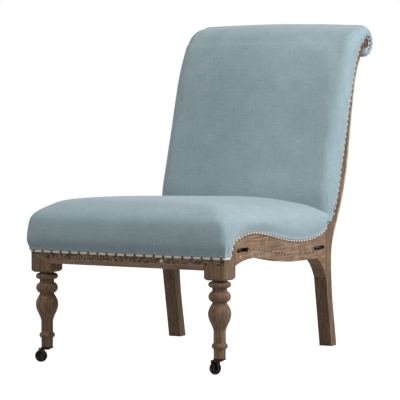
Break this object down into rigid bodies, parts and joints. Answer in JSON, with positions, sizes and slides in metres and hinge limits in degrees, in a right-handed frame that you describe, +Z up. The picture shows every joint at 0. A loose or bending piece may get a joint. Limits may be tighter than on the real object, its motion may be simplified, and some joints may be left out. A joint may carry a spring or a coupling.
{
  "type": "scroll-back lounge chair",
  "caption": "Armless lounge chair with a sprung seat, a padded scroll back, turned front legs on swivel casters and swept rear legs, its oak frame left bare.",
  "frame": {"origin": "on the floor, midway between the seat's front and the roll's back and midway between the two sides", "axes": "+Z up, -Y towards the sitter's knees, +X to the right seen from the front"},
  "size_m": [0.5765, 0.9424, 0.8732],
  "materials": {
    "oak": "weathered, unpolished, dry",
    "pine": "sawn, unfinished",
    "plug_wood": "end grain",
    "linen": "slubbed plain weave, matte",
    "stuffing": "wadding",
    "braid": "woven tape",
    "burlap": "coarse plain weave",
    "jute_webbing": "woven strap",
    "spring_steel": "drawn wire",
    "bolt_steel": "zinc-dull",
    "dark_tack": "blued",
    "caster_iron": "dark bronze patina",
    "caster_wheel": "dark, worn tread"
  },
  "bodies": {
    "chair_frame": {"back_braid_left": "braid", "back_braid_right": "braid", "back_canvas": "burlap", "back_cover": "linen", "back_stuffing": "stuffing", "back_stuffing_rail": "oak", "back_webbing_cross": "jute_webbing", "back_webbing_upright": "jute_webbing", "brace_screws": "bolt_steel", "caster_plate_left": "caster_iron", "caster_plate_right": "caster_iron", "caster_stem_left": "caster_iron", "caster_stem_right": "caster_iron", "crest_dowel_left": "plug_wood", "crest_dowel_right": "plug_wood", "crest_rail": "oak", "frame_bolts": "bolt_steel", "front_braid": "braid", "front_corner_brace_left": "pine", "front_corner_brace_right": "pine", "front_leg_left": "oak", "front_leg_right": "oak", "front_rail": "oak", "front_tacks": "dark_tack", "joint_pegs": "plug_wood", "knee_bracket_left": "oak", "knee_bracket_right": "oak", "outside_back": "burlap", "outside_back_tacks": "dark_tack", "rear_corner_brace_left": "pine", "rear_corner_brace_right": "pine", "rear_post_left": "oak", "rear_post_right": "oak", "rear_rail": "oak", "seat_cover": "linen", "seat_springs": "spring_steel", "seat_stuffing": "stuffing", "seat_webbing_crosswise": "jute_webbing", "seat_webbing_lengthwise": "jute_webbing", "side_braid_left": "braid", "side_braid_right": "braid", "side_rail_left": "oak", "side_rail_right": "oak", "spring_canvas": "burlap", "webbing_batten_front": "pine", "webbing_batten_left": "pine", "webbing_batten_rear": "pine", "webbing_batten_right": "pine"},
    "caster_left": {"caster_fork_left": "caster_iron", "caster_axle_left": "caster_iron"},
    "caster_right": {"caster_fork_right": "caster_iron", "caster_axle_right": "caster_iron"},
    "wheel_left": {"caster_wheel_left": "caster_wheel"},
    "wheel_right": {"caster_wheel_right": "caster_wheel"}
  },
  "joints": [
    {"name": "caster_left_swivel", "type": "hinge", "parent": "chair_frame", "child": "caster_left", "pos_m": [-0.2495, -0.42875, 0.036], "axis": [0, 0, 1], "continuous": true},
    {"name": "caster_right_swivel", "type": "hinge", "parent": "chair_frame", "child": "caster_right", "pos_m": [0.2495, -0.42875, 0.036], "axis": [0, 0, 1], "continuous": true},
    {"name": "wheel_left_spin", "type": "hinge", "parent": "caster_left", "child": "wheel_left", "pos_m": [-0.26081, -0.44006, 0.016], "axis": [0.7071, -0.7071, 0], "continuous": true},
    {"name": "wheel_right_spin", "type": "hinge", "parent": "caster_right", "child": "wheel_right", "pos_m": [0.24536, -0.4442, 0.016], "axis": [0.9659, -0.2588, 0], "continuous": true}
  ]
}
